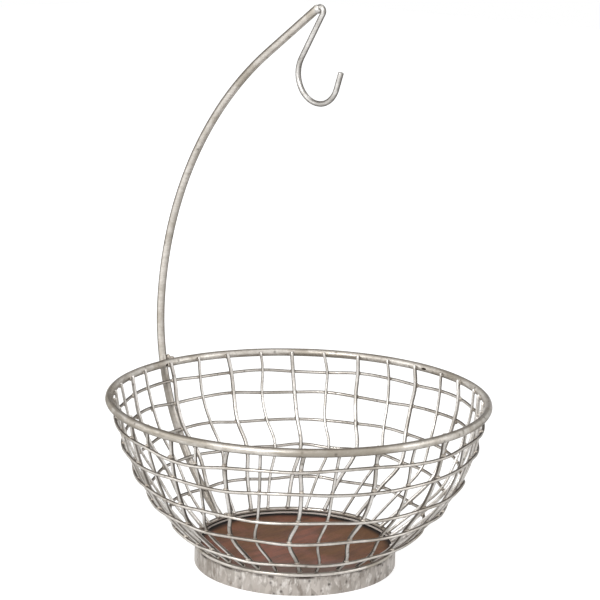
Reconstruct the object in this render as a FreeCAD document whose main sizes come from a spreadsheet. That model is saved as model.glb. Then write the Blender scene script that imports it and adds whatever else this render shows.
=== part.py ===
"""Wire produce basket with a fruit hook, for a kitchen counter.

A bowl of crimped, spot-welded wire stands on a low band of galvanised strip.
Upright ribs, heavy and light in turn, run from the base ring to the rim on the
inside of five hoops.  A round rod follows the outside of the bowl from the
base, passes the rim and sweeps over the middle, where it carries a J hook.

Frame: millimetres, +Z up, origin at the middle of the band's underside, the
rod at the back (+Y).  Angles round the bowl are degrees from +Y towards +X.
A "station" is a point of a radial plane: x is the distance from the bowl's
axis, y is the height.
"""
import FreeCAD, Part
import math
import os
import Sketcher

Vector = FreeCAD.Vector

# ---------------------------------------------------------------- dimensions
SIZES = [
    # rim and bowl
    ("rim_diameter", 280),      # over the rod
    ("rim_rod", 6),
    ("rim_height", 124),        # rod's centre above the counter
    ("bowl_bulge", 160),        # radius of the bowl's side, seen from the side
    ("bowl_swell", 3.2),        # how far the hand-worked mesh swells past that on its full side
    # base
    ("base_diameter", 148),     # over the band
    ("band_height", 14),
    ("band_wall", 1.2),
    ("ring_wire", 3),
    ("plate_drop", 2.6),        # plate's upper face below the band's upper edge
    ("plate_sheet", 1),
    ("plate_lip", 2),           # height of the plate's turned-up edge
    ("plate_bend", 0.8),        # slant inside the corner of that edge
    # wire mesh
    ("rib_count", 34),
    ("heavy_wire", 3),
    ("light_wire", 2.2),
    ("hoop_wire", 2.4),
    ("hoop_lean", 3),           # how far a hoop rises on its high side
    ("hoop_wander", 0.8),       # how far a hoop rises and falls from rib to rib
    ("wire_flats", 6),          # sides of the section of the mesh wires
    # rod and hook
    ("arm_rod", 6),
    ("arm_foot", 9),            # length of rod below its weld to the base ring
    ("arm_height", 406),        # rod's tip above the counter
    ("arm_sweep", 268),         # radius of the long bend over the bowl
    ("arm_lean", 3.75),         # lean in degrees where the long bend starts
    ("arm_end_lean", 53.4),     # lean in degrees of the straight end
    ("arm_tip_bevel", 0.8),
    ("rod_flats", 10),          # sides of the section of rim and rod
    ("hook_wire", 4),
    ("hook_flats", 8),          # sides of the section of hook and base ring
    ("hook_width", 40.5),       # between the centres of shank and tip
    ("hook_drop", 66.6),        # from the rod's tip to the lowest centre
    ("hook_set", 2.8),          # hook's middle beyond the rod's tip
    ("hook_neck", 3),           # radius of the bend under the rod's tip
    ("hook_tip", 3.5),          # straight length at the hook's point
    ("hook_tip_bevel", 1),
    # welds
    ("weld_sink", 0.3),         # depth to which crossing wires melt together
    ("weld_lap", 1),            # length of a rib beyond its end weld
]

# How each rib was crimped by hand, in degrees round the bowl.
FIRST_RIB = 2                               # first rib, beside the rod
RIB_TWIST = [0, 0.7, 0.8, 1.6, 4, 0.5, -1.9]    # lean of all ribs, from rim over hoops to base
BASE_TWIST = 1.7                            # further twist at the base, forward on one side
TWIST_SIDE = 180
RIB_DRIFT = 3.5                             # ribs crowd and spread twice round the bowl
DRIFT_GAIN = 0.22                           # and more so at each crossing further down
DRIFT_SIDE = 80
RIB_SHIFT = 0.8                             # ribs crowd on one side, spread on the other
SHIFT_SIDE = 142
RIB_STRAY = 1.6                             # of a whole rib
STRAY_PACE = 0.65                           # radians of that wave from rib to rib
STRAY_START = 0.9
RIB_WANDER = 0.4                            # of a rib from crossing to crossing
WANDER_PACE = 2.4                           # radians of that wave from rib to rib
WANDER_STEP = 1.7                           # and from crossing to crossing
LIGHT_PAIRS = (16, 31)                      # ribs that follow another light one
STRAYED = {8: -1, 11: 1.5, 14: 1.5, 16: -1.4, 21: -1.8}    # ribs set well off their place

# How each hoop sits, from the top one down.
HOOP_RISE = [0.874, 0.716, 0.521, 0.351, 0.157]    # share of the way from base ring to rim
HOOP_LEAN = [0.3, 0.6, 1.05, 0.85, 1.3]     # share of the lean
LEAN_SIDE = [114, 107, 40, 51, 64]          # side on which it stands higher
HOOP_SADDLE = [0.1, 0.4, 0.15, 0.1, 0.35]   # share of the lean by which it is warped
SADDLE_SIDE = [9, 5, 33, -19, -47]          # side on which the warp is up, as on the side opposite
HOOP_PACE = 1.9                             # radians of a hoop's wander from rib to rib
HOOP_STEP = 2.3                             # and from hoop to hoop
FULL_SIDE = 137.5                           # side on which the mesh swells most

doc = FreeCAD.newDocument("basket")
sheet = doc.addObject("Spreadsheet::Sheet", "sizes")
for row, (alias, value) in enumerate(SIZES, start=1):
    sheet.set(f"A{row}", alias)
    sheet.set(f"B{row}", str(value))
    sheet.setAlias(f"B{row}", alias)
doc.recompute()


def size(alias):
    return float(sheet.get(alias))


# ------------------------------------------------------ stations and headings
def station(radius, height):
    return Vector(radius, height, 0)


def heading(degrees):
    """Unit step in a radial plane, in degrees from outward towards upward."""
    return station(math.cos(math.radians(degrees)), math.sin(math.radians(degrees)))


def bearing(step):
    return math.degrees(math.atan2(step.y, step.x))


def meeting(first, first_reach, second, second_reach):
    """Station at given distances from two others, on the left of the way from first to second."""
    way = second - first
    along = (way.Length ** 2 + first_reach ** 2 - second_reach ** 2) / (2 * way.Length)
    aside = math.sqrt(first_reach ** 2 - along ** 2)
    turn = bearing(way)
    return first + heading(turn) * along + heading(turn + 90) * aside


def place(spot, angle=0):
    """Point in space of a station, at an angle round the bowl."""
    turn = math.radians(angle)
    return Vector(spot.x * math.sin(turn), spot.x * math.cos(turn), spot.y)


def arc(centre, radius, start, end):
    """Arc in the rod's plane between two bearings."""
    middle = (start + end) / 2
    points = [place(centre + heading(turn) * radius) for turn in (start, middle, end)]
    return Part.Arc(*points).toShape()


# ------------------------------------------------------------- bowl's surface
sink = size("weld_sink")
rim_station = station((size("rim_diameter") - size("rim_rod")) / 2, size("rim_height"))
ring_station = station((size("base_diameter") - size("band_wall")) / 2,
                       size("band_height") + size("ring_wire") / 2)
# The ribs' outer faces lie on one surface, an arc that is tangent to the insides
# of the base ring and the rim.
bulge = size("bowl_bulge")
side_centre = meeting(ring_station, bulge + size("ring_wire") / 2 - sink,
                      rim_station, bulge + size("rim_rod") / 2 - sink)


def level_of(spot):
    """Height at which the surface passes a station beside it."""
    return side_centre.y + bulge * math.sin(math.radians(bearing(spot - side_centre)))


rim_level = level_of(rim_station)
ring_level = level_of(ring_station)


def on_side(level, angle, outward):
    """Station beside the mesh's surface at a height and angle, moved outward from it."""
    turn = math.degrees(math.asin((level - side_centre.y) / bulge))
    rise = (level - ring_level) / (rim_level - ring_level)
    fullness = math.cos(math.radians(angle - FULL_SIDE) / 2) ** 4
    swell = size("bowl_swell") * fullness * math.sin(math.pi * rise)
    return side_centre + heading(turn) * (bulge + swell + outward)


def rib_angle(number, crossing):
    """Angle of a rib at the rim (crossing 0), the hoops (1 to 5) or the base ring (6)."""
    even = FIRST_RIB + 360 * number / rib_count
    drift = (RIB_DRIFT + DRIFT_GAIN * crossing) * math.cos(math.radians(2 * (even - DRIFT_SIDE)))
    shift = RIB_SHIFT * math.cos(math.radians(even - SHIFT_SIDE))
    stray = RIB_STRAY * math.sin(STRAY_PACE * number + STRAY_START)
    wander = RIB_WANDER * math.sin(WANDER_PACE * number + WANDER_STEP * crossing)
    twist = RIB_TWIST[crossing] + STRAYED.get(number, 0)
    if crossing == ring_crossing:
        twist += BASE_TWIST * math.cos(math.radians(even - TWIST_SIDE))
    return even + drift + shift + stray + wander + twist


def hoop_height(angle, crossing):
    """Height of a hoop at an angle round the bowl."""
    row = crossing - 1
    rise = HOOP_RISE[row] * (rim_station.y - ring_station.y)
    lean = HOOP_LEAN[row] * math.cos(math.radians(angle - LEAN_SIDE[row]))
    saddle = HOOP_SADDLE[row] * math.cos(math.radians(2 * (angle - SADDLE_SIDE[row])))
    return ring_station.y + rise + size("hoop_lean") * (lean + saddle)


def hoop_level(number, crossing):
    """Height of a hoop where it crosses a rib."""
    wander = size("hoop_wander") * math.sin(HOOP_PACE * number + HOOP_STEP * crossing)
    return hoop_height(rib_angle(number, crossing), crossing) + wander


def is_heavy(number):
    """Heavy and light ribs alternate, save where two light ones stand together."""
    pairs = sum(number >= pair for pair in LIGHT_PAIRS)
    return (number + pairs) % 2 == 0


rib_count = int(size("rib_count"))
hoop_count = len(HOOP_RISE)
ring_crossing = hoop_count + 1
parts = []


# --------------------------------------------------------------- construction
def add_part(obj, label):
    obj.Label = label
    parts.append(obj)
    return obj


def wire_section(label, spot, along, out, gauge, flats):
    """Many-sided section across a wire or rod, with a flat facing outward."""
    section = doc.addObject("Part::RegularPolygon", label)
    section.setExpression("Polygon", f"sizes.{flats}")
    section.setExpression("Circumradius", f"sizes.{gauge} / 2 / cos(180deg / sizes.{flats})")
    facing = FreeCAD.Rotation(out, Vector(), along, "ZXY")
    half_side = FreeCAD.Rotation(Vector(0, 0, 1), 180 / size(flats))
    section.Placement = FreeCAD.Placement(spot, facing.multiply(half_side))
    return section


def from_side_centre(spot):
    """Direction across the bowl's surface at a point in space."""
    return Vector(spot.x, spot.y, spot.z - side_centre.y)


def swept(label, section, route_shape, transition):
    """Solid made by one section along a route."""
    route = doc.addObject("Part::Feature", f"{label}_route")
    route.Shape = route_shape
    wire = doc.addObject("Part::Sweep", label)
    wire.Sections = [section]
    wire.Spine = (route, [])
    wire.Solid = True
    wire.Transition = transition
    return wire


def ring(label, centre, gauge, flats):
    """Level ring: a section turned about the bowl's axis."""
    section = wire_section(f"{label}_section", place(centre), Vector(1, 0, 0), Vector(0, 1, 0), gauge, flats)
    turned = doc.addObject("Part::Revolution", label)
    turned.Source = section
    turned.Axis = Vector(0, 0, 1)
    turned.Angle = 360
    turned.Solid = True
    return add_part(turned, label)


def rib_wire(label, points, gauge):
    """Open wire of the mesh: straight runs with mitred bends."""
    along = points[1] - points[0]
    section = wire_section(f"{label}_section", points[0], along, from_side_centre(points[0]), gauge, "wire_flats")
    return add_part(swept(label, section, Part.makePolygon(points), "Right corner"), label)


def hoop_wire(label, points, gauge):
    """Endless wire of the mesh: straight runs between a section at every bend."""
    sections = []
    for index, spot in enumerate(points):
        along = points[(index + 1) % len(points)] - points[index - 1]
        sections.append(wire_section(f"{label}_section_{index + 1}", spot, along,
                                     from_side_centre(spot), gauge, "wire_flats"))
    wire = doc.addObject("Part::Loft", label)
    wire.Sections = sections
    wire.Solid = True
    wire.Ruled = True
    wire.Closed = True
    return add_part(wire, label)


def bent_rod(label, bends, gauge, flats):
    """Rod swept along a smooth route in the rod's plane."""
    along = bends[0].tangentAt(bends[0].FirstParameter)
    start = bends[0].valueAt(bends[0].FirstParameter)
    section = wire_section(f"{label}_section", start, along, along.cross(Vector(1, 0, 0)), gauge, flats)
    return swept(label, section, Part.Wire(bends), "Transformed")


def bevelled_end(label, base, end, along, bevel):
    """Bevel the edges of a rod's end face."""
    doc.recompute()
    edges = [number for number, edge in enumerate(base.Shape.Edges, start=1)
             if all(abs((vertex.Point - end).dot(along)) < 1e-4 for vertex in edge.Vertexes)]
    bevelled = doc.addObject("Part::Chamfer", label)
    bevelled.Base = base
    bevelled.Edges = [(number, bevel, bevel) for number in edges]
    return add_part(bevelled, label)


def turned_body(label, corners, bounds):
    """Body turned about the bowl's axis from a closed outline of straight lines.

    corners: stations in order.  bounds: for each corner an expression for its
    radius and one for its height; None leaves it to the line before.
    """
    body = doc.addObject("PartDesign::Body", label)
    sketch = body.newObject("Sketcher::SketchObject", f"{label}_outline")
    plane = next(item for item in body.Origin.OriginFeatures if item.Role == "XZ_Plane")
    sketch.AttachmentSupport = [(plane, "")]
    sketch.MapMode = "FlatFace"
    count = len(corners)
    for index, corner in enumerate(corners):
        sketch.addGeometry(Part.LineSegment(corner, corners[(index + 1) % count]), False)
    for index in range(count):
        after = (index + 1) % count
        sketch.addConstraint(Sketcher.Constraint("Coincident", index, 2, after, 1))
        level = abs(corners[index].y - corners[after].y) < 1e-9
        sketch.addConstraint(Sketcher.Constraint("Horizontal" if level else "Vertical", index))
    for index, (radius, height) in bounds.items():
        for kind, expression, value in (("DistanceX", radius, corners[index].x),
                                        ("DistanceY", height, corners[index].y)):
            if expression is None:
                continue
            number = sketch.addConstraint(Sketcher.Constraint(kind, -1, 1, index, 1, value))
            sketch.setExpression(f"Constraints[{number}]", expression)
    turned = body.newObject("PartDesign::Revolution", f"{label}_turned")
    turned.Profile = sketch
    turned.ReferenceAxis = (sketch, ["V_Axis"])
    turned.Angle = 360
    return body


# ------------------------------------------------------------------- the rim
ring("rim", rim_station, "rim_rod", "rod_flats")

# ------------------------------------------------------------------ the base
ring("base_ring", ring_station, "ring_wire", "hook_flats")

band_outside = size("base_diameter") / 2
band_inside = band_outside - size("band_wall")
band = turned_body(
    "base_band",
    [station(band_inside, 0), station(band_outside, 0),
     station(band_outside, size("band_height")), station(band_inside, size("band_height"))],
    {0: ("sizes.base_diameter / 2 - sizes.band_wall", "0"),
     2: ("sizes.base_diameter / 2", "sizes.band_height")})
add_part(band, "base_band")

plate_top = size("band_height") - size("plate_drop")
plate_under = plate_top - size("plate_sheet")
lip_inside = band_inside - size("plate_sheet")
lip_top = plate_top + size("plate_lip")
plate = turned_body(
    "bottom_plate",
    [station(0, plate_under), station(band_inside, plate_under), station(band_inside, lip_top),
     station(lip_inside, lip_top), station(lip_inside, plate_top), station(0, plate_top)],
    {0: ("0", "sizes.band_height - sizes.plate_drop - sizes.plate_sheet"),
     2: ("sizes.base_diameter / 2 - sizes.band_wall", "sizes.band_height - sizes.plate_drop + sizes.plate_lip"),
     4: ("sizes.base_diameter / 2 - sizes.band_wall - sizes.plate_sheet", "sizes.band_height - sizes.plate_drop")})
doc.recompute()


def rim_edge(shape, radius, height):
    """Name of a body's circular edge of a given radius and height."""
    for number, edge in enumerate(shape.Edges, start=1):
        curve = edge.Curve
        if curve.TypeId == "Part::GeomCircle" and abs(curve.Radius - radius) + abs(curve.Center.z - height) < 0.01:
            return f"Edge{number}"
    raise ValueError("no such edge")


for name, radius, height, depth in (
        ("plate_outer_bend", band_inside, plate_under, "sizes.plate_bend + sizes.plate_sheet"),
        ("plate_inner_bend", lip_inside, plate_top, "sizes.plate_bend")):
    before = plate.Tip
    slant = plate.newObject("PartDesign::Chamfer", name)
    slant.Base = (before, [rim_edge(before.Shape, radius, height)])
    slant.setExpression("Size", depth)
    plate.Tip = slant
    doc.recompute()
add_part(plate, "bottom_plate")

# ------------------------------------------------------------------ the mesh
for crossing in range(1, hoop_count + 1):
    outward = size("hoop_wire") / 2 - sink
    points = []
    for number in range(rib_count):
        angle = rib_angle(number, crossing)
        points.append(place(on_side(hoop_level(number, crossing), angle, outward), angle))
    hoop_wire(f"hoop_{crossing}", points, "hoop_wire")

for number in range(rib_count):
    gauge = "heavy_wire" if is_heavy(number) else "light_wire"
    inward = -size(gauge) / 2
    levels = [hoop_level(number, crossing) for crossing in range(1, hoop_count + 1)]
    points = []
    for crossing, level in enumerate([rim_level, *levels, ring_level]):
        angle = rib_angle(number, crossing)
        points.append(place(on_side(level, angle, inward), angle))
    for end, inner in ((0, 1), (-1, -2)):
        points[end] += (points[end] - points[inner]).normalize() * size("weld_lap")
    rib_wire(f"rib_{number + 1:02d}", points, gauge)

# ------------------------------------------------------------------- the rod
# Its lower bend touches the base ring, the fourth hoop and the rim.
touching = size("arm_rod") / 2 - sink
fourth_hoop = on_side(hoop_height(0, 4), 0, size("hoop_wire") / 2 - sink)
contacts = []
for wire_station, wire_radius in ((ring_station, size("ring_wire") / 2),
                                  (fourth_hoop, size("hoop_wire") / 2),
                                  (rim_station, size("rim_rod") / 2)):
    away = heading(bearing(wire_station - side_centre))
    contacts.append(wire_station + away * (wire_radius + touching))
lower_bend = Part.Circle(*contacts)
lower_centre = lower_bend.Center
lower_radius = lower_bend.Radius
foot_turn = bearing(contacts[0] - lower_centre) - math.degrees(size("arm_foot") / lower_radius)
arm_lean = size("arm_lean")
arm_end_lean = size("arm_end_lean")
sweep_radius = size("arm_sweep")
sweep_centre = lower_centre + heading(arm_lean) * (lower_radius - sweep_radius)
sweep_end = sweep_centre + heading(arm_end_lean) * sweep_radius
end_heading = heading(arm_end_lean + 90)
arm_tip = sweep_end + end_heading * ((size("arm_height") - sweep_end.y) / end_heading.y)

rod = bent_rod(
    "arm_bent_rod",
    [arc(lower_centre, lower_radius, foot_turn, arm_lean),
     arc(sweep_centre, sweep_radius, arm_lean, arm_end_lean),
     Part.LineSegment(place(sweep_end), place(arm_tip)).toShape()],
    "arm_rod", "rod_flats")
# The foot is coped to the outside of the band.
band_room = doc.addObject("Part::Cylinder", "arm_foot_cope")
band_room.setExpression("Radius", "sizes.base_diameter / 2")
band_room.setExpression("Height", "sizes.band_height + sizes.ring_wire / 2")
coped = doc.addObject("Part::Cut", "arm_coped_rod")
coped.Base = rod
coped.Tool = band_room
bevelled_end("hanger_arm", coped, place(arm_tip), place(end_heading), size("arm_tip_bevel"))

# ------------------------------------------------------------------ the hook
# It leaves the rod's end face, turns down, and runs straight to the round of
# the hook, which opens away from the rod.
neck = size("hook_neck")
hook_radius = size("hook_width") / 2
neck_centre = arm_tip + heading(arm_end_lean + 180) * neck
hook_centre = station(arm_tip.x - size("hook_set"), arm_tip.y - size("hook_drop") + hook_radius)
between = hook_centre - neck_centre
shank_turn = bearing(between) + math.degrees(math.asin((neck + hook_radius) / between.Length))
neck_exit = neck_centre + heading(shank_turn - 90) * neck
shank_end = hook_centre + heading(shank_turn + 90) * hook_radius
point_start = hook_centre + heading(-180) * hook_radius
point_end = point_start + heading(90) * size("hook_tip")
hook = bent_rod(
    "hook_bent_wire",
    [arc(neck_centre, neck, arm_end_lean, shank_turn + 270),
     Part.LineSegment(place(neck_exit), place(shank_end)).toShape(),
     arc(hook_centre, hook_radius, shank_turn + 90, -180),
     Part.LineSegment(place(point_start), place(point_end)).toShape()],
    "hook_wire", "hook_flats")
bevelled_end("fruit_hook", hook, place(point_end), Vector(0, 0, 1), size("hook_tip_bevel"))

# ------------------------------------------------------------ check and write
doc.recompute()
for obj in doc.Objects:
    if "Invalid" in obj.State or "Error" in obj.State:
        raise RuntimeError(f"{obj.Label} is {obj.State}")
for part in parts:
    if part.Shape.isNull() or not part.Shape.isValid() or len(part.Shape.Solids) != 1:
        raise RuntimeError(f"{part.Label} has no valid shape")

os.makedirs("parts", exist_ok=True)
for part in parts:
    part.Shape.exportStep(f"parts/{part.Label}.step")
print(f"{len(parts)} pieces written")
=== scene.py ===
"""Looks of the wire produce basket with a fruit hook: round crimped wires, welds, galvanised
band, rusted tray, and their finishes.  Metres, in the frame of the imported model: +Z up, the
middle of the band's underside at the origin, the rod at the back (+Y)."""
import math
import bpy
from mathutils import Matrix, Vector


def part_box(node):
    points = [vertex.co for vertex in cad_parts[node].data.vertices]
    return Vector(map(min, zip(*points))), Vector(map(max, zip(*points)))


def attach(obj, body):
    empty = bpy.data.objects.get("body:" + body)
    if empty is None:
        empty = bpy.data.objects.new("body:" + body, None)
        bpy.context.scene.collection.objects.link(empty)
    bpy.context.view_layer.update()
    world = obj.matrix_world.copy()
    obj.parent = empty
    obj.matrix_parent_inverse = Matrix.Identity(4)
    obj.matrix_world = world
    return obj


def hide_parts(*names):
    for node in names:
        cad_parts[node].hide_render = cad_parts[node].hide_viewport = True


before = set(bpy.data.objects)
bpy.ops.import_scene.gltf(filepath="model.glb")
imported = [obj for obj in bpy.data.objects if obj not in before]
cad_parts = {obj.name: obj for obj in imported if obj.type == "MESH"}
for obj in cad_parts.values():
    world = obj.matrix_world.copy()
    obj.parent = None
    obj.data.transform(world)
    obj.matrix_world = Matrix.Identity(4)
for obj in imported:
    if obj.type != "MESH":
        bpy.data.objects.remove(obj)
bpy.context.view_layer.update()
scene = bpy.context.scene
MM = 0.001

# ----------------------------------------------------- gauges and directions
RIM_ROD = 6 * MM
ARM_ROD = 6 * MM
HOOK_WIRE = 4 * MM
RING_WIRE = 3 * MM
HEAVY_WIRE = 3 * MM
LIGHT_WIRE = 2.2 * MM
HOOP_WIRE = 2.4 * MM
HOOPS = 5
RIBS = 34
HEX_CORNER = 1.155          # of a six-sided wire: over its corners against over its flats
SECTION_GAP = 0.05          # radians: two sections of a hoop stand at least so far apart
FRONT = Vector((-0.737, -0.676, 0))     # direction towards the camera: the painted shade and highlights are set for it
RIGHT = Vector((0.676, -0.737, 0))      # to the right of it, seen from there


# ------------------------------------------------------------ modelling tools
def deselect_all():
    """Leave edit mode and select nothing."""
    if bpy.context.object and bpy.context.object.mode != "OBJECT":
        bpy.ops.object.mode_set(mode="OBJECT")
    bpy.ops.object.select_all(action="DESELECT")


def only(piece):
    """Select one piece and nothing else."""
    deselect_all()
    piece.select_set(True)
    bpy.context.view_layer.objects.active = piece
    return piece


def settle(piece):
    """Put the piece's place into its mesh, so its object sits at the origin."""
    only(piece)
    bpy.ops.object.transform_apply(location=True, rotation=True, scale=True)
    return piece


def tidy_normals(piece):
    """Merge doubled points and turn every face outward."""
    only(piece)
    bpy.ops.object.mode_set(mode="EDIT")
    bpy.ops.mesh.select_all(action="SELECT")
    bpy.ops.mesh.remove_doubles(threshold=1e-6)
    bpy.ops.mesh.normals_make_consistent(inside=False)
    bpy.ops.object.mode_set(mode="OBJECT")
    return piece


def modify(piece, kind, **settings):
    """Add a modifier and apply it."""
    only(piece)
    modifier = piece.modifiers.new(kind.title(), kind)
    for key, value in settings.items():
        setattr(modifier, key, value)
    bpy.ops.object.modifier_apply(modifier=modifier.name)
    return piece


def smooth(piece, angle):
    """Shade smooth, save at edges sharper than the angle."""
    only(piece)
    bpy.ops.object.shade_smooth_by_angle(angle=math.radians(angle))
    return piece


def ease_edges(piece, width, segments, angle):
    """Round off the edges sharper than the angle."""
    return modify(piece, "BEVEL", width=width, segments=segments, limit_method="ANGLE",
                  angle_limit=math.radians(angle))


def make_uneven(piece, lumps, depth, **settings):
    """Push a surface in and out along soft lumps."""
    return modify(piece, "DISPLACE", texture=lumps, texture_coords="LOCAL", strength=depth,
                  mid_level=0.5, **settings)


def join(pieces, name):
    """Make one piece of several."""
    deselect_all()
    for piece in pieces:
        piece.select_set(True)
    bpy.context.view_layer.objects.active = pieces[0]
    bpy.ops.object.join()
    joined = bpy.context.object
    joined.name = name
    return joined


def unevenness(name, size):
    """Soft lumps for the Displace modifier: worked metal is never quite true."""
    lumps = bpy.data.textures.new(name, "CLOUDS")
    lumps.noise_scale = size
    lumps.noise_depth = 1
    return lumps


rod_lumps = unevenness("rod_lumps", 0.02)
sheet_lumps = unevenness("sheet_lumps", 0.035)
weld_lumps = unevenness("weld_lumps", 0.004)


# --------------------------------------------------- corners of the CAD nodes
def corners_of(solid):
    """The corner points of a CAD node, each once."""
    return sorted({tuple(round(value, 6) for value in vertex.co)
                   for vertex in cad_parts[solid].data.vertices})


def middles(corners, sides=6):
    """Middle of each group of section corners."""
    groups = [corners[start:start + sides] for start in range(0, len(corners), sides)]
    return [sum((Vector(corner) for corner in group), Vector()) / len(group) for group in groups]


def rib_line(number):
    """Bends of a rib, from its top end down."""
    corners = corners_of(f"rib_{number:02d}")
    return middles(sorted(corners, key=lambda corner: -corner[2]))


def hoop_line(number):
    """Bends of a hoop, round the bowl."""
    corners = sorted(corners_of(f"hoop_{number}"),
                     key=lambda corner: math.atan2(corner[1], corner[0]))
    turns = [math.atan2(corner[1], corner[0]) for corner in corners]
    start = next(index for index in range(1, len(turns))
                 if turns[index] - turns[index - 1] > SECTION_GAP)
    return middles(corners[start:] + corners[:start])


def gauge_of(number):
    """Heavy or light: told from the size of the rib's end section."""
    top = sorted(corners_of(f"rib_{number:02d}"), key=lambda corner: -corner[2])[:6]
    middle = middles(top)[0]
    reach = max((Vector(corner) - middle).length for corner in top)
    return HEAVY_WIRE if reach > (HEAVY_WIRE + LIGHT_WIRE) / 4 * HEX_CORNER else LIGHT_WIRE


# -------------------------------------------------------------------- wires
def bent_wire(name, bends, gauge, closed=False, steps=5):
    """Round wire with soft bends: a bevelled curve, made a mesh, with its ends eased."""
    deselect_all()
    bpy.ops.curve.primitive_bezier_curve_add(location=(0, 0, 0))
    piece = bpy.context.object
    piece.name = name
    curve = piece.data
    curve.dimensions = "3D"
    curve.resolution_u = steps
    curve.bevel_depth = gauge / 2
    curve.bevel_resolution = 4
    curve.use_fill_caps = not closed
    line = curve.splines[0]
    line.bezier_points.add(len(bends) - len(line.bezier_points))
    for knot, spot in zip(line.bezier_points, bends):
        knot.co = spot
        knot.handle_left_type = "AUTO"
        knot.handle_right_type = "AUTO"
    line.use_cyclic_u = closed
    only(piece)
    bpy.ops.object.convert(target="MESH")
    piece = bpy.context.object
    tidy_normals(piece)
    if not closed:
        ease_edges(piece, gauge * 0.12, 2, 60)
    return smooth(piece, 50)


def rod_start(name, spot, along, gauge, sides=20):
    """First face of a rod, ready to be drawn out; the piece is left in edit mode."""
    deselect_all()
    bpy.ops.mesh.primitive_circle_add(vertices=sides, radius=gauge / 2, fill_type="NGON",
                                      location=spot,
                                      rotation=along.to_track_quat("Z", "Y").to_euler())
    piece = bpy.context.object
    piece.name = name
    settle(piece)
    bpy.ops.object.mode_set(mode="EDIT")
    bpy.ops.mesh.select_all(action="SELECT")
    return piece


def draw_out(step):
    """Extrude what is selected by a step."""
    bpy.ops.mesh.extrude_region_move(TRANSFORM_OT_translate={"value": step})


def bend_round(centre, degrees, steps):
    """Turn the drawn end about a point in the rod's plane; spin turns clockwise."""
    bpy.ops.mesh.spin(steps=steps, angle=-math.radians(degrees), center=centre, axis=(1, 0, 0))


def wire_ring(name, radius, height, gauge, turns=160, sides=16):
    """Level ring of round wire, closed end to end."""
    deselect_all()
    bpy.ops.mesh.primitive_torus_add(major_segments=turns, minor_segments=sides,
                                     major_radius=radius, minor_radius=gauge / 2,
                                     location=(0, 0, height))
    piece = bpy.context.object
    piece.name = name
    return settle(piece)


# ---------------------------------------------------------------- the rim
rim_low, rim_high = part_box("rim")
rim_radius = rim_high.x - RIM_ROD / 2
rim_level = (rim_low.z + rim_high.z) / 2
rim = wire_ring("rim_rod", rim_radius, rim_level, RIM_ROD, turns=480, sides=20)
make_uneven(rim, rod_lumps, 0.15 * MM)
smooth(rim, 60)

# --------------------------------------------------------------- base ring
ring_low, ring_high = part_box("base_ring")
ring_radius = ring_high.x - RING_WIRE / 2
ring_level = (ring_low.z + ring_high.z) / 2
base_ring = wire_ring("ring_wire", ring_radius, ring_level, RING_WIRE)
make_uneven(base_ring, rod_lumps, 0.2 * MM)
smooth(base_ring, 60)

# -------------------------------------------------------------------- mesh
rib_gauges = [gauge_of(number) for number in range(1, RIBS + 1)]
rib_lines = [rib_line(number) for number in range(1, RIBS + 1)]
hoop_lines = [hoop_line(number) for number in range(1, HOOPS + 1)]

BOWL_MIDDLE = 0.130         # height of the middle that the bowl's side curves round
BOWL_AXIS = -0.012          # its distance from the axis, on the far side of it
# Places where a hoop was bent down or up: hoop, side in degrees, half width, drop in mm.
DENTS = [(1, -97, 18, 3.6), (2, -14, 12, -3.6), (2, 111, 9, -3.0), (2, -170, 9, 2.2),
         (3, 33, 14, 1.8), (3, 101, 10, -1.8), (4, 84, 10, -2.0), (4, 35, 10, 2.0),
         (4, 147, 14, 2.2), (5, -22, 20, -2.8), (1, 177, 13, 2.4), (2, 174, 8, 1.0),
         (3, 47, 9, 1.3), (4, 47, 8, -2.4), (1, 45, 20, 0.8), (1, 142, 9, 2.0),
         (2, -158, 10, 2.0), (3, 138, 8, 2.2), (3, 155, 8, -2.4)]


def down_the_side(spot, drop):
    """The same wire lower down the bowl's side: it draws in as it goes down."""
    outward = Vector((spot.x, spot.y, 0)).normalized()
    slope = (spot.z - BOWL_MIDDLE) / (outward.dot(spot) - BOWL_AXIS)
    return spot + outward * slope * drop + Vector((0, 0, -drop))


for number, side, width, drop in DENTS:
    line = hoop_lines[number - 1]
    for index, spot in enumerate(line):
        turn = (math.degrees(math.atan2(spot.x, spot.y)) - side + 180) % 360 - 180
        line[index] = down_the_side(spot, drop * MM * math.exp(-(turn / width) ** 2))
rib_pieces = [bent_wire(f"upright_{number:02d}", line, gauge)
              for number, (line, gauge) in enumerate(zip(rib_lines, rib_gauges), start=1)]
hoop_pieces = [bent_wire(f"hoop_wire_{number}", line, HOOP_WIRE, closed=True)
               for number, line in enumerate(hoop_lines, start=1)]

# -------------------------------------------------------------------- band
BAND_WALL = 1.2 * MM
BAND_SHARES = (0.2, 0.4, 0.6, 0.8)      # of its height, cut round so that it can be uneven
band_radius, _, band_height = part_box("base_band")[1]
deselect_all()
bpy.ops.mesh.primitive_cylinder_add(vertices=160, radius=band_radius - BAND_WALL / 2,
                                    depth=band_height, end_fill_type="NOTHING",
                                    location=(0, 0, band_height / 2))
band = bpy.context.object
band.name = "band_strip"
settle(band)
bpy.ops.object.mode_set(mode="EDIT")
for share in BAND_SHARES:
    bpy.ops.mesh.select_all(action="SELECT")
    bpy.ops.mesh.bisect(plane_co=(0, 0, band_height * share), plane_no=(0, 0, 1))
bpy.ops.object.mode_set(mode="OBJECT")
tidy_normals(band)
make_uneven(band, sheet_lumps, 0.4 * MM)
modify(band, "SOLIDIFY", thickness=BAND_WALL, offset=0)
ease_edges(band, 0.3 * MM, 2, 50)
smooth(band, 50)

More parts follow.
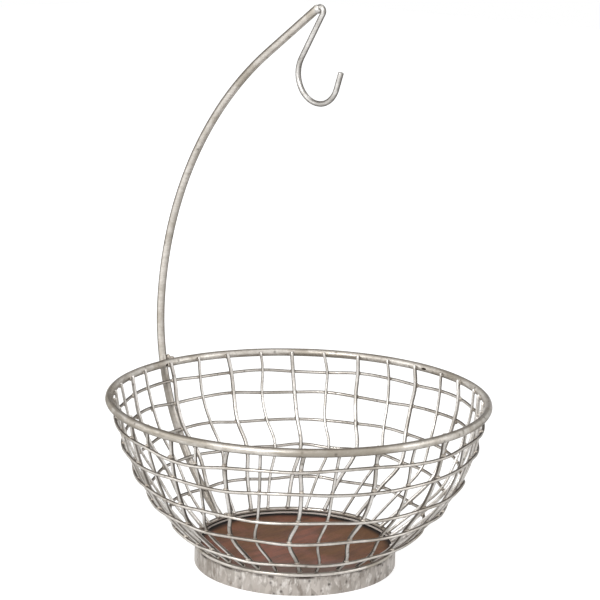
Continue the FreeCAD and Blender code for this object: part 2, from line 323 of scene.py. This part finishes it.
# -------------------------------------------------------------------- tray
PLATE_SHEET = 1 * MM
PLATE_LIP = 2 * MM
plate_radius, _, lip_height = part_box("bottom_plate")[1]
plate_top = lip_height - PLATE_LIP
deselect_all()
bpy.ops.mesh.primitive_circle_add(vertices=128, radius=plate_radius - PLATE_SHEET / 2,
                                  fill_type="TRIFAN", location=(0, 0, plate_top - PLATE_SHEET / 2))
tray = bpy.context.object
tray.name = "tray"
settle(tray)
bpy.ops.object.mode_set(mode="EDIT")
bpy.ops.mesh.select_all(action="SELECT")
bpy.ops.mesh.subdivide(number_cuts=6)
bpy.ops.mesh.select_mode(type="EDGE")
bpy.ops.mesh.select_all(action="DESELECT")
bpy.ops.mesh.select_non_manifold()
draw_out((0, 0, PLATE_LIP + PLATE_SHEET / 2))
bpy.ops.object.mode_set(mode="OBJECT")
tidy_normals(tray)
ease_edges(tray, 1.2 * MM, 3, 60)
make_uneven(tray, sheet_lumps, 0.5 * MM, direction="Z")
modify(tray, "SOLIDIFY", thickness=PLATE_SHEET, offset=0)
smooth(tray, 50)

# --------------------------------------------------------------------- rod
ROD_LOWER_BEND = Vector((0, -0.04597, 0.16093))     # middle of the bend beside the bowl
ROD_LOWER_RADIUS = 0.19234
ROD_FOOT_TURN = -53.4       # degrees up from outward where the lower bend starts
ROD_LEAN = 3.75             # where the sweep over the bowl takes over
ROD_SWEEP_RADIUS = 0.268
ROD_END_LEAN = 53.4         # and where the straight end starts
ROD_TIP_HEIGHT = 0.406


def rod_heading(degrees):
    """Unit step in the rod's plane, from outward towards upward."""
    return Vector((0, math.cos(math.radians(degrees)), math.sin(math.radians(degrees))))


sweep_centre = ROD_LOWER_BEND + rod_heading(ROD_LEAN) * (ROD_LOWER_RADIUS - ROD_SWEEP_RADIUS)
sweep_end = sweep_centre + rod_heading(ROD_END_LEAN) * ROD_SWEEP_RADIUS
end_heading = rod_heading(ROD_END_LEAN + 90)
arm_tip = sweep_end + end_heading * ((ROD_TIP_HEIGHT - sweep_end.z) / end_heading.z)
arm = rod_start("arm_rod", ROD_LOWER_BEND + rod_heading(ROD_FOOT_TURN) * ROD_LOWER_RADIUS,
                rod_heading(ROD_FOOT_TURN + 90), ARM_ROD)
bend_round(ROD_LOWER_BEND, ROD_LEAN - ROD_FOOT_TURN, 22)
bend_round(sweep_centre, ROD_END_LEAN - ROD_LEAN, 28)
draw_out((arm_tip - sweep_end) * 0.6)
draw_out((arm_tip - sweep_end) * 0.4)
bpy.ops.object.mode_set(mode="OBJECT")
tidy_normals(arm)
ease_edges(arm, 0.9 * MM, 3, 60)
deselect_all()      # the rod's foot is cut to the band
bpy.ops.mesh.primitive_cylinder_add(vertices=160, radius=band_radius, depth=ring_level * 2,
                                    location=(0, 0, 0))
band_room = bpy.context.object
modify(arm, "BOOLEAN", operation="DIFFERENCE", object=band_room)
bpy.data.objects.remove(band_room)
make_uneven(arm, rod_lumps, 0.12 * MM)
smooth(arm, 60)

# -------------------------------------------------------------------- hook
HOOK_NECK = 3 * MM          # radius of the bend at the rod's tip
HOOK_RADIUS = 20.25 * MM
HOOK_SET = 2.8 * MM         # the round's middle, in from the rod's tip
HOOK_DROP = 66.6 * MM       # the round's lowest line, down from the rod's tip
POINT_RADIUS = 17 * MM      # the round's last part is bent tighter
POINT_FLARE = 18            # degrees that the point leans outward
HOOK_POINT = 12.4 * MM
neck_centre = arm_tip + rod_heading(ROD_END_LEAN + 180) * HOOK_NECK
hook_centre = Vector((0, arm_tip.y - HOOK_SET, arm_tip.z - HOOK_DROP + HOOK_RADIUS))
between = hook_centre - neck_centre
shank_turn = (math.degrees(math.atan2(between.z, between.y))
              + math.degrees(math.asin((HOOK_NECK + HOOK_RADIUS) / between.length)))
neck_exit = neck_centre + rod_heading(shank_turn - 90) * HOOK_NECK
shank_end = hook_centre + rod_heading(shank_turn + 90) * HOOK_RADIUS
hook = rod_start("hook_wire", arm_tip, end_heading, HOOK_WIRE, sides=16)
bend_round(neck_centre, shank_turn + 270 - ROD_END_LEAN, 10)
draw_out(shank_end - neck_exit)
bend_round(hook_centre, -90 - (shank_turn + 90), 20)
bend_round(hook_centre - Vector((0, 0, HOOK_RADIUS - POINT_RADIUS)), POINT_FLARE - 90, 10)
draw_out(rod_heading(90 + POINT_FLARE) * HOOK_POINT)
bpy.ops.object.mode_set(mode="OBJECT")
tidy_normals(hook)
ease_edges(hook, 1.1 * MM, 3, 60)
smooth(hook, 60)


# ------------------------------------------------------------------- welds
RIB_HEAT_AND_SHADE = 5 * MM           # how far a weld's heat tint and painted contact shade reach
HOOP_HEAT_AND_SHADE = 4.2 * MM
ROD_LEFT_SHADE, ROD_HIGHLIGHT_STRIP, ROD_RIGHT_SHADE = 0.78, 0.3, 1.0     # painted shade across the rod beside the bowl: left side, highlight strip, right side
HIGHLIGHT_START, HIGHLIGHT_END = 0.25, 0.85     # how far the faces of its painted highlight strip turn to the right
RIGHT_SHADE_GROWTH = 0.3          # more painted shade, the more a face of the rod or hook turns to the right
CROSSING_BEAD, HEAD_BEAD, FOOT_BEAD = 0.68, 0.7, 0.6    # size of a bead over its wire's gauge
HEAD_DROP = 2.2 * MM        # bead of a rib's head, below its end
FOOT_LIFT = 0.4 * MM


def nearest(spot, line):
    return min(line, key=lambda bend: (bend - spot).length)


def melted_between(first, first_gauge, second, second_gauge):
    """Point where two crossing wires touch."""
    return first + (second - first) * first_gauge / (first_gauge + second_gauge)


def weld_heat_and_shade_marks(piece, spots, reach):
    """Store on the piece how near each point is to a weld: its finish darkens there, as weld heat
    tint and as painted shade where the wires touch.
    """
    marks = piece.data.attributes.new("heat", "FLOAT", "POINT")
    for vertex, mark in zip(piece.data.vertices, marks.data):
        away = min((vertex.co - spot).length for spot in spots)
        mark.value = max(0.0, 1 - away / reach)


def flank_shade_marks(piece, upright, share, front):
    """Store on the piece how far each point faces sideways: painted shade on the wire's flanks,
    darkening its outlines.
    front adds to it towards the front and the back of the bowl, along FRONT."""
    marks = piece.data.attributes.new("flank", "FLOAT", "POINT")
    for vertex, mark in zip(piece.data.vertices, marks.data):
        outward = Vector((vertex.co.x, vertex.co.y, 0)).normalized()
        aside = Vector((-outward.y, outward.x, 0)) if upright else Vector((0, 0, 1))
        mark.value = (share + front * abs(outward.dot(FRONT))) * abs(vertex.normal.dot(aside))


def side_shade_marks(piece, right_share):
    """The same for the rod and the hook, set for FRONT: painted shade at their outlines and to the
    right, and a painted highlight strip on the rod beside the bowl.
    """
    marks = piece.data.attributes.new("flank", "FLOAT", "POINT")
    for vertex, mark in zip(piece.data.vertices, marks.data):
        over = vertex.normal.dot(RIGHT)
        if vertex.co.z < rim_level:
            mark.value = (ROD_LEFT_SHADE if over < HIGHLIGHT_START else
                          ROD_HIGHLIGHT_STRIP if over < HIGHLIGHT_END else ROD_RIGHT_SHADE)
        elif over < 0:
            mark.value = FRONT.cross(vertex.normal).length
        else:
            mark.value = right_share + RIGHT_SHADE_GROWTH * over


def blob(name, spot, size, turn=0.0):
    """Bead of weld metal: a ball pressed out of round."""
    deselect_all()
    bpy.ops.mesh.primitive_ico_sphere_add(subdivisions=2, radius=1, location=spot,
                                          rotation=(0, 0, turn))
    piece = bpy.context.object
    piece.name = name
    piece.scale = size
    settle(piece)
    modify(piece, "SUBSURF", levels=1, render_levels=1)
    make_uneven(piece, weld_lumps, min(size) * 0.5)
    return smooth(piece, 80)


# One nugget, copied to every crossing of the mesh.
deselect_all()
bpy.ops.mesh.primitive_uv_sphere_add(segments=8, ring_count=6, radius=1, location=(0, 0, 0))
nugget = bpy.context.object
nugget.name = "weld_nugget"
bpy.ops.object.mode_set(mode="EDIT")
bpy.ops.mesh.select_all(action="SELECT")
bpy.ops.transform.resize(value=(1.0, 1.1, 0.75))
bpy.ops.transform.vertex_random(offset=0.12, seed=3)
bpy.ops.object.mode_set(mode="OBJECT")


def nugget_at(spot, outward, size):
    """Copy of the nugget, its flat way across the bowl's side."""
    copy = nugget.copy()
    copy.data = nugget.data.copy()
    scene.collection.objects.link(copy)
    facing = outward.to_track_quat("Z", "Y").to_matrix().to_4x4()
    copy.matrix_world = Matrix.Translation(spot) @ facing @ Matrix.Diagonal((size, size, size, 1))
    return copy


nuggets = []
for piece, line, gauge in zip(rib_pieces, rib_lines, rib_gauges):
    spots = []
    for bend, hoop in zip(line[1:-1], hoop_lines):
        crossing = nearest(bend, hoop)
        spot = melted_between(bend, gauge, crossing, HOOP_WIRE)
        spots.append(spot)
        nuggets.append(nugget_at(spot, crossing - bend, gauge * CROSSING_BEAD))
    for end, lift, share in ((line[0], -HEAD_DROP, HEAD_BEAD), (line[-1], FOOT_LIFT, FOOT_BEAD)):
        outward = Vector((end.x, end.y, 0)).normalized()
        spot = end + outward * gauge * 0.5 + Vector((0, 0, lift))
        nuggets.append(nugget_at(spot, outward, gauge * share))
    weld_heat_and_shade_marks(piece, spots + [line[0], line[-1]], RIB_HEAT_AND_SHADE)
    flank_shade_marks(piece, True, 0.68, 0.4)
for piece, line in zip(hoop_pieces, hoop_lines):
    weld_heat_and_shade_marks(piece, line, HOOP_HEAT_AND_SHADE)
    flank_shade_marks(piece, False, 1.05, 0.15)
for piece, end, share in ((rim, 0, 0.8), (base_ring, -1, 0.95)):
    weld_heat_and_shade_marks(piece, [line[end] for line in rib_lines], RIB_HEAT_AND_SHADE)
    flank_shade_marks(piece, False, share, 0.15)
side_shade_marks(arm, 0.53)
side_shade_marks(hook, 0.68)
bpy.data.objects.remove(nugget)
mesh_welds = join(nuggets, "mesh_welds")
settle(mesh_welds)
smooth(mesh_welds, 80)

# Beads beside the rod, at the rim and at the band: middle, size.
rod_at_rim = Vector((0, 0.14265, 0.12328))
rod_at_band = Vector((0, 0.0748, 0.0158))
ROD_BEADS = [(rod_at_rim + Vector((0.0030, -0.0020, 0.0042)), (0.0016, 0.0022, 0.0028)),
             (rod_at_rim + Vector((0.0052, -0.0030, 0.0028)), (0.0034, 0.0026, 0.0020)),
             (rod_at_rim + Vector((-0.0034, -0.0026, 0.0004)), (0.0026, 0.0022, 0.0026)),
             (rod_at_band + Vector((0.0028, 0, 0)), (0.0024, 0.0022, 0.0022)),
             (rod_at_band + Vector((-0.0028, 0, 0)), (0.0024, 0.0022, 0.0022))]
rod_welds = join([blob(f"rod_weld_{number}", spot, size)
                  for number, (spot, size) in enumerate(ROD_BEADS, start=1)], "rod_welds")
tip_weld = blob("tip_weld", arm_tip + end_heading * -0.0004 + Vector((0, 0, -0.0009)),
                (0.0035, 0.0036, 0.0034))

# Burnt spots: one on the bead at the rod's tip, two on the rim's inner side.
burnt_spots = [blob("tip_pit", arm_tip + FRONT * 0.0029 + RIGHT * 0.0017 + Vector((0, 0, -0.0004)),
                    (0.0007, 0.0007, 0.0008))]
for name, side, lift, size in (("rim_seam", 93, 0.0002, (0.0006, 0.0026, 0.0010)),
                               ("rim_pit", -1.9, -0.0004, (0.0007, 0.0013, 0.0011))):
    outward = Vector((math.sin(math.radians(side)), math.cos(math.radians(side)), 0))
    spot = outward * (rim_radius - RIM_ROD * 0.49) + Vector((0, 0, rim_level + lift))
    burnt_spots.append(blob(name, spot, size, math.radians(90 - side)))

pieces = {"rim": rim, "base_ring": base_ring, "base_band": band, "bottom_plate": tray,
          "hanger_arm": arm, "fruit_hook": hook}
pieces.update({f"rib_{number:02d}": piece for number, piece in enumerate(rib_pieces, start=1)})
pieces.update({f"hoop_{number}": piece for number, piece in enumerate(hoop_pieces, start=1)})


# --------------------------------------------------------------- finishes
def node(tree, kind, inputs=None, **settings):
    """Add a shader node; an input is a value or another node's output."""
    made = tree.nodes.new(f"ShaderNode{kind}")
    for key, value in settings.items():
        setattr(made, key, value)
    for key, value in (inputs or {}).items():
        if isinstance(value, bpy.types.NodeSocket):
            tree.links.new(value, made.inputs[key])
        else:
            made.inputs[key].default_value = value
    return made


def mix(tree, share, first, second):
    """Colour mixed from two."""
    made = node(tree, "Mix", data_type="RGBA")
    for index, value in ((0, share), (6, first), (7, second)):
        if isinstance(value, bpy.types.NodeSocket):
            tree.links.new(value, made.inputs[index])
        else:
            made.inputs[index].default_value = value
    return made.outputs[2]


def new_effect(name, inputs, outputs):
    """Shader group: the group, what it is given and what it gives."""
    group = bpy.data.node_groups.new(name, "ShaderNodeTree")
    for label, kind, value in inputs:
        socket = group.interface.new_socket(label, in_out="INPUT", socket_type=f"NodeSocket{kind}")
        if value is not None:
            socket.default_value = value
    for label, kind in outputs:
        group.interface.new_socket(label, in_out="OUTPUT", socket_type=f"NodeSocket{kind}")
    given = group.nodes.new("NodeGroupInput").outputs
    return group, given, group.nodes.new("NodeGroupOutput").inputs


# Soft patches: 0 and 1 with cloudy edges.
patches, given, gives = new_effect(
    "patches", [("Vector", "Vector", None), ("Scale", "Float", 20.0), ("From", "Float", 0.4),
                ("To", "Float", 0.6)], [("Mask", "Float")])
cloud = node(patches, "TexNoise", {"Vector": given["Vector"], "Scale": given["Scale"],
                                   "Detail": 4.0, "Roughness": 0.6})
parted = node(patches, "MapRange", {"Value": cloud.outputs["Fac"], "From Min": given["From"],
                                    "From Max": given["To"]}, interpolation_type="SMOOTHSTEP")
patches.links.new(parted.outputs["Result"], gives["Mask"])

# Small scattered marks.
specks, given, gives = new_effect(
    "specks", [("Vector", "Vector", None), ("Scale", "Float", 300.0), ("Size", "Float", 0.2),
               ("Share", "Float", 0.3)], [("Mask", "Float")])
cells = node(specks, "TexVoronoi", {"Vector": given["Vector"], "Scale": given["Scale"]})
chosen = node(specks, "TexNoise", {"Vector": cells.outputs["Position"], "Scale": 211.0,
                                   "Detail": 0.0})
rare = node(specks, "Math", {0: chosen.outputs["Fac"], 1: given["Share"]}, operation="LESS_THAN")
near = node(specks, "MapRange", {"Value": cells.outputs["Distance"], "From Min": given["Size"],
                                 "From Max": 0.0}, interpolation_type="SMOOTHSTEP")
mark = node(specks, "Math", {0: rare.outputs["Value"], 1: near.outputs["Result"]},
            operation="MULTIPLY")
specks.links.new(mark.outputs["Value"], gives["Mask"])

# Fine relief of a rolled, drawn or rusted surface.
relief, given, gives = new_effect(
    "relief", [("Vector", "Vector", None), ("Scale", "Float", 600.0), ("Depth", "Float", 0.00005)],
    [("Normal", "Vector")])
grain = node(relief, "TexNoise", {"Vector": given["Vector"], "Scale": given["Scale"],
                                  "Detail": 3.0})
bump = node(relief, "Bump", {"Height": grain.outputs["Fac"], "Distance": given["Depth"],
                             "Strength": 1.0})
relief.links.new(bump.outputs["Normal"], gives["Normal"])


def use(tree, group, **values):
    """Place a shader group in a material and give its output."""
    placed = tree.nodes.new("ShaderNodeGroup")
    placed.node_tree = group
    for key, value in values.items():
        if isinstance(value, bpy.types.NodeSocket):
            tree.links.new(value, placed.inputs[key])
        else:
            placed.inputs[key].default_value = value
    return placed.outputs[0]


def finish_start(name, metallic, specular=0.5, edge=(1, 1, 1, 1)):
    """New material: it, its nodes, its Principled shader and the place on the object."""
    material = bpy.data.materials.new(name)
    material.use_nodes = True
    tree = material.node_tree
    paint = tree.nodes["Principled BSDF"]
    paint.inputs["Metallic"].default_value = metallic
    paint.inputs["Specular IOR Level"].default_value = specular
    paint.inputs["Specular Tint"].default_value = edge
    return material, tree, paint, node(tree, "TexCoord").outputs["Object"]


def ramp(tree, mask, low, high):
    """A mask from 0 to 1 made to run from low to high."""
    return node(tree, "MapRange", {"Value": mask, "To Min": low, "To Max": high}).outputs["Result"]


def height_and_reach(tree, place):
    """Height of a point, and its distance from the bowl's axis."""
    split = node(tree, "SeparateXYZ", {"Vector": place}).outputs
    flat = node(tree, "CombineXYZ", {"X": split["X"], "Y": split["Y"]}).outputs["Vector"]
    return split["Z"], node(tree, "VectorMath", {0: flat}, operation="LENGTH").outputs["Value"]


def metal(name, light, dark, burnt_and_shade, metallic=0.5, smoothest=0.3, roughest=0.48, broad_brown=0.0):
    """Warm grey nickelled wire: cloudy patina, specks, drawn grain, weld heat tint with painted
    contact shade, broad darker brown patches, and painted shade and highlights from the flank
    attribute.
    """
    material, tree, paint, place = finish_start(name, metallic, 0.2, (0.05, 0.045, 0.04, 1))
    cloudy = use(tree, patches, Vector=place, Scale=45.0, From=0.42, To=0.66)
    fine = use(tree, patches, Vector=place, Scale=420.0, From=0.45, To=0.75)
    marks = use(tree, specks, Vector=place, Scale=260.0, Size=0.45, Share=0.36)
    # weld heat tint, and painted contact shade where the wires cross and meet
    heat = node(tree, "Attribute", attribute_name="heat").outputs["Fac"]
    soft_heat_and_shade = node(tree, "Math", {0: heat, 1: cloudy}, operation="MULTIPLY").outputs["Value"]
    across = node(tree, "Mapping", {"Vector": place, "Scale": (1.0, 1.0, 6.0)}).outputs["Vector"]
    drawn = use(tree, patches, Vector=across, Scale=150.0, From=0.48, To=0.7)
    broad = use(tree, patches, Vector=across, Scale=14.0, From=0.46, To=0.6)
    colour = mix(tree, cloudy, light, dark)
    colour = mix(tree, ramp(tree, drawn, 0.0, 0.45), colour, dark)
    # darker brown in broad patches stretched round the piece
    colour = mix(tree, ramp(tree, broad, 0.0, broad_brown), colour, BROAD_BROWN)
    colour = mix(tree, ramp(tree, fine, 0.0, 0.5), colour, dark)
    colour = mix(tree, ramp(tree, marks, 0.0, 0.7), colour, burnt_and_shade)
    colour = mix(tree, soft_heat_and_shade, colour, burnt_and_shade)
    # painted shade: the flank attribute darkens the wire's sides towards the burnt colour, as dark
    # outlines
    flank = node(tree, "Attribute", attribute_name="flank").outputs["Fac"]
    painted_flank_shade = node(tree, "MapRange", {"Value": flank, "From Min": 0.55, "From Max": 0.92,
                                      "To Max": 0.9},
                   interpolation_type="SMOOTHSTEP").outputs["Result"]
    colour = mix(tree, painted_flank_shade, colour, burnt_and_shade)
    tree.links.new(colour, paint.inputs["Base Color"])
    tree.links.new(ramp(tree, cloudy, smoothest, roughest), paint.inputs["Roughness"])
    normal = use(tree, relief, Vector=place, Scale=700.0, Depth=0.00004)
    tree.links.new(normal, paint.inputs["Normal"])
    return material


BROAD_BROWN = (0.33, 0.295, 0.245, 1)
# Each metal: light and dark patina, and the colour of burnt spots, which is also the colour of its
# painted shade.
wire_finish = metal("pewter_wire", (0.76, 0.73, 0.695, 1), (0.48, 0.45, 0.41, 1),
                    (0.10, 0.082, 0.066, 1))
rod_finish = metal("pewter_rod", (0.74, 0.70, 0.65, 1), (0.47, 0.43, 0.37, 1),
                   (0.13, 0.11, 0.09, 1), broad_brown=0.25)
rim_finish = metal("pewter_rim", (0.72, 0.685, 0.635, 1), (0.45, 0.41, 0.355, 1),
                   (0.12, 0.10, 0.08, 1), broad_brown=0.85)
hoop_finish = metal("pewter_hoop", (0.67, 0.635, 0.59, 1), (0.43, 0.395, 0.35, 1),
                    (0.10, 0.082, 0.066, 1))
hook_finish = metal("pewter_hook", (0.72, 0.70, 0.675, 1), (0.44, 0.42, 0.39, 1),
                    (0.11, 0.098, 0.085, 1))
weld_finish = metal("weld_metal", (0.55, 0.50, 0.44, 1), (0.30, 0.26, 0.22, 1),
                    (0.10, 0.08, 0.06, 1), metallic=0.4, smoothest=0.32, roughest=0.55)
pit_finish = metal("burnt_pit", (0.07, 0.055, 0.045, 1), (0.05, 0.04, 0.03, 1),
                   (0.02, 0.016, 0.012, 1), metallic=0.2, smoothest=0.5, roughest=0.6)

# Galvanised strip: upright spangle, streaks of white rust, pits, painted shade towards its left
# end, a painted shadow under the base ring, and painted shade inside.
LEFT_SHADE_START, LEFT_SHADE_FULL = -0.035, -0.062        # painted shade, along RIGHT, towards the band's left end
RING_SHADE_START, RING_SHADE_FULL = 0.0118, 0.0134      # heights of the painted shadow under the base ring
band_finish, tree, paint, place = finish_start("galvanised_strip", 0.3, 0.3)
stretched = node(tree, "Mapping", {"Vector": place, "Scale": (1.0, 1.0, 0.4)}).outputs["Vector"]
spangle = node(tree, "TexVoronoi", {"Vector": stretched, "Scale": 210.0})
flakes = node(tree, "SeparateColor", {"Color": spangle.outputs["Color"]}).outputs["Red"]
streaks = use(tree, patches, Vector=stretched, Scale=170.0, From=0.46, To=0.62)
blotches = use(tree, patches, Vector=place, Scale=70.0, From=0.42, To=0.6)
bloom = use(tree, patches, Vector=stretched, Scale=330.0, From=0.5, To=0.66)
elsewhere = node(tree, "Mapping", {"Vector": place,
                                   "Location": (0.013, 0.021, 0.0)}).outputs["Vector"]
pits = use(tree, specks, Vector=elsewhere, Scale=250.0, Size=0.45, Share=0.4)
colour = mix(tree, ramp(tree, flakes, 0.0, 0.85), (0.59, 0.54, 0.495, 1), (0.32, 0.28, 0.245, 1))
colour = mix(tree, ramp(tree, streaks, 0.0, 0.75), colour, (0.22, 0.185, 0.155, 1))
colour = mix(tree, ramp(tree, blotches, 0.0, 0.35), colour, (0.62, 0.58, 0.54, 1))
colour = mix(tree, ramp(tree, bloom, 0.0, 0.8), colour, (0.80, 0.76, 0.72, 1))
colour = mix(tree, ramp(tree, pits, 0.0, 0.9), colour, (0.06, 0.048, 0.04, 1))
# painted shade, darker towards the band's left end
along = node(tree, "VectorMath", {0: place, 1: RIGHT}, operation="DOT_PRODUCT").outputs["Value"]
painted_left_shade = node(tree, "MapRange", {"Value": along, "From Min": LEFT_SHADE_START, "From Max": LEFT_SHADE_FULL,
                                "To Max": 0.4}).outputs["Result"]
colour = mix(tree, painted_left_shade, colour, (0.25, 0.215, 0.175, 1))
height, reach = height_and_reach(tree, place)
# painted shade: the band's inner face is made nearly black
inside = node(tree, "Math", {0: reach, 1: band_radius - BAND_WALL * 0.6},
              operation="LESS_THAN").outputs["Value"]
under_ring = node(tree, "MapRange", {"Value": height, "From Min": RING_SHADE_START,
                                     "From Max": RING_SHADE_FULL},
                  interpolation_type="SMOOTHSTEP").outputs["Result"]
# painted shadow under the base ring, broken up by the blotches
broken_ring_shadow = node(tree, "Math", {0: under_ring, 1: blotches}, operation="MULTIPLY").outputs["Value"]
colour = mix(tree, broken_ring_shadow, colour, (0.07, 0.055, 0.045, 1))
colour = mix(tree, inside, colour, (0.012, 0.009, 0.008, 1))
tree.links.new(colour, paint.inputs["Base Color"])
tree.links.new(ramp(tree, flakes, 0.38, 0.58), paint.inputs["Roughness"])
tree.links.new(use(tree, relief, Vector=place, Scale=500.0, Depth=0.0001), paint.inputs["Normal"])

# Rusted sheet: cloudy browns, rolling streaks, painted shade at its border and towards the front,
# bright lip.
FRONT_SHADE_START, FRONT_SHADE_FULL = 0.025, 0.05     # painted shade, along FRONT from the middle
BORDER_WIDTH, BORDER_EDGE = 8 * MM, 1.5 * MM
plate_finish, tree, paint, place = finish_start("rust_plate", 0.0, 0.3)
rolled = node(tree, "Mapping", {"Vector": place, "Rotation": (0, 0, math.radians(47.5)),
                                "Scale": (0.25, 1.6, 1.0)}).outputs["Vector"]
clouds = use(tree, patches, Vector=place, Scale=24.0, From=0.38, To=0.64)
lines = use(tree, patches, Vector=rolled, Scale=90.0, From=0.4, To=0.66)
grit = use(tree, patches, Vector=place, Scale=700.0, From=0.4, To=0.7)
colour = mix(tree, clouds, (0.215, 0.066, 0.036, 1), (0.150, 0.074, 0.032, 1))
colour = mix(tree, ramp(tree, lines, 0.0, 0.7), colour, (0.080, 0.036, 0.024, 1))
colour = mix(tree, ramp(tree, grit, 0.0, 0.3), colour, (0.27, 0.125, 0.075, 1))
height, reach = height_and_reach(tree, place)
# painted shade: the plate's border next to the lip is made nearly black
painted_border_shade = node(tree, "MapRange", {"Value": reach, "From Min": plate_radius - BORDER_WIDTH,
                                 "From Max": plate_radius - BORDER_EDGE},
              interpolation_type="SMOOTHSTEP").outputs["Result"]
# painted shade over the front of the plate
forward = node(tree, "VectorMath", {0: place, 1: FRONT}, operation="DOT_PRODUCT").outputs["Value"]
painted_front_shade = node(tree, "MapRange", {"Value": forward, "From Min": FRONT_SHADE_START, "From Max": FRONT_SHADE_FULL,
                               "To Max": 0.7}, interpolation_type="SMOOTHSTEP").outputs["Result"]
colour = mix(tree, painted_front_shade, colour, (0.085, 0.066, 0.052, 1))
colour = mix(tree, painted_border_shade, colour, (0.008, 0.005, 0.004, 1))
lip = node(tree, "Math", {0: height, 1: plate_top + PLATE_LIP * 0.5},
           operation="GREATER_THAN").outputs["Value"]
colour = mix(tree, lip, colour, (0.66, 0.60, 0.55, 1))
tree.links.new(colour, paint.inputs["Base Color"])
tree.links.new(ramp(tree, clouds, 0.62, 0.8), paint.inputs["Roughness"])
tree.links.new(use(tree, relief, Vector=place, Scale=420.0, Depth=0.00012), paint.inputs["Normal"])


def dress(piece, finish):
    """Give a piece its finish; it rides with the basket, which has one body."""
    piece.data.materials.clear()
    piece.data.materials.append(finish)
    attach(piece, "root")


FINISHES = {"rim": rim_finish, "base_ring": rod_finish, "base_band": band_finish,
            "bottom_plate": plate_finish, "hanger_arm": rod_finish, "fruit_hook": hook_finish}
FINISHES.update({f"hoop_{number}": hoop_finish for number in range(1, HOOPS + 1)})
for solid, piece in pieces.items():
    dress(piece, FINISHES.get(solid, wire_finish))
    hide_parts(solid)
for piece, finish in ((mesh_welds, weld_finish), (rod_welds, weld_finish), (tip_weld, hook_finish)):
    dress(piece, finish)
for piece in burnt_spots:
    dress(piece, pit_finish)



# --------------------------------------------------------- floor and backdrop
def seen_straight(tree):
    """1 for what the camera sees itself, or in metal or through glass."""
    path = node(tree, "LightPath").outputs
    seen = node(tree, "Math", {0: path["Is Camera Ray"], 1: path["Is Glossy Ray"]},
                operation="MAXIMUM")
    return node(tree, "Math", {0: seen.outputs["Value"], 1: path["Is Transmission Ray"]},
                operation="MAXIMUM").outputs["Value"]


deselect_all()
bpy.ops.mesh.primitive_plane_add(size=8, location=(0, 0, -0.0001))
floor = bpy.context.object
floor.name = "floor"
white, tree, paint, place = finish_start("white_floor", 0.0)
paint.inputs["Base Color"].default_value = (0.45, 0.45, 0.45, 1)
paint.inputs["Roughness"].default_value = 0.9
far = node(tree, "VectorMath", {0: place}, operation="LENGTH").outputs["Value"]
haze = node(tree, "MapRange", {"Value": far, "From Min": 0.5, "From Max": 1.3, "To Min": 0.8,
                               "To Max": 1.0})
glow = node(tree, "Emission", {"Color": (1, 1, 1, 1), "Strength": haze.outputs["Result"]})
lit = node(tree, "AddShader", {0: paint.outputs["BSDF"], 1: glow.outputs["Emission"]})
choose = node(tree, "MixShader", {0: seen_straight(tree), 1: paint.outputs["BSDF"],
                                  2: lit.outputs["Shader"]})
tree.links.new(choose.outputs["Shader"], tree.nodes["Material Output"].inputs["Surface"])
floor.data.materials.append(white)

# ------------------------------------------------------------------- camera
VIEW_TURN = math.radians(-47.5)
VIEW_RISE = math.radians(12.58)
VIEW_ROLL = math.radians(1.5)
VIEW_DISTANCE = 1.469
VIEW_ASIDE, VIEW_HEIGHT = -0.0011, 0.1969       # of the point that the camera looks at
VIEW_LENS = 122.8
aside = Vector((math.cos(VIEW_TURN), math.sin(VIEW_TURN), 0))
towards = Vector((math.sin(VIEW_TURN), -math.cos(VIEW_TURN), 0))
aim = aside * VIEW_ASIDE + Vector((0, 0, VIEW_HEIGHT))
back_off = towards * math.cos(VIEW_RISE) + Vector((0, 0, math.sin(VIEW_RISE)))
deselect_all()
bpy.ops.object.camera_add(
    location=aim + back_off * VIEW_DISTANCE,
    rotation=(Matrix.Rotation(VIEW_TURN, 3, "Z") @ Matrix.Rotation(math.pi / 2 - VIEW_RISE, 3, "X")
              @ Matrix.Rotation(VIEW_ROLL, 3, "Z")).to_euler())
camera = bpy.context.object
camera.name = "camera"
camera.data.lens = VIEW_LENS
camera.data.sensor_width = 36
scene.camera = camera


# ------------------------------------------------------------------- lights
# Lamp: steps towards the viewer and to the right, height, side, power.
LAMPS = [("key_lamp", 1.9, -0.9, 1.3, 1.0, 40), ("right_lamp", 0.7, 2.0, 0.9, 1.4, 14),
         ("left_lamp", 0.3, -2.1, 0.9, 1.4, 10), ("top_lamp", 0, 0, 2.4, 1.2, 9),
         ("back_lamp", -1.8, 0, 1.4, 1.2, 7)]
LIT_POINT = Vector((0, 0, 0.12))        # middle of the bowl


def soft_box(name, spot, side, power):
    """Large square lamp aimed at the bowl."""
    deselect_all()
    bpy.ops.object.light_add(type="AREA", location=spot)
    lamp = bpy.context.object
    lamp.name = name
    lamp.data.shape = "SQUARE"
    lamp.data.size = side
    lamp.data.energy = power
    lamp.rotation_euler = (LIT_POINT - spot).to_track_quat("-Z", "Y").to_euler()


for name, near, right, height, side, power in LAMPS:
    soft_box(name, towards * near + aside * right + Vector((0, 0, height)), side, power)

world = bpy.data.worlds.new("studio")
world.use_nodes = True
scene.world = world
tree = world.node_tree
room = tree.nodes["Background"]
room.inputs["Color"].default_value = (0.14, 0.14, 0.14, 1)
backdrop = node(tree, "Background", {"Color": (1, 1, 1, 1), "Strength": 1.0})
choose = node(tree, "MixShader", {0: seen_straight(tree), 1: room.outputs["Background"],
                                  2: backdrop.outputs["Background"]})
tree.links.new(choose.outputs["Shader"], tree.nodes["World Output"].inputs["Surface"])
scene.view_settings.view_transform = "Standard"
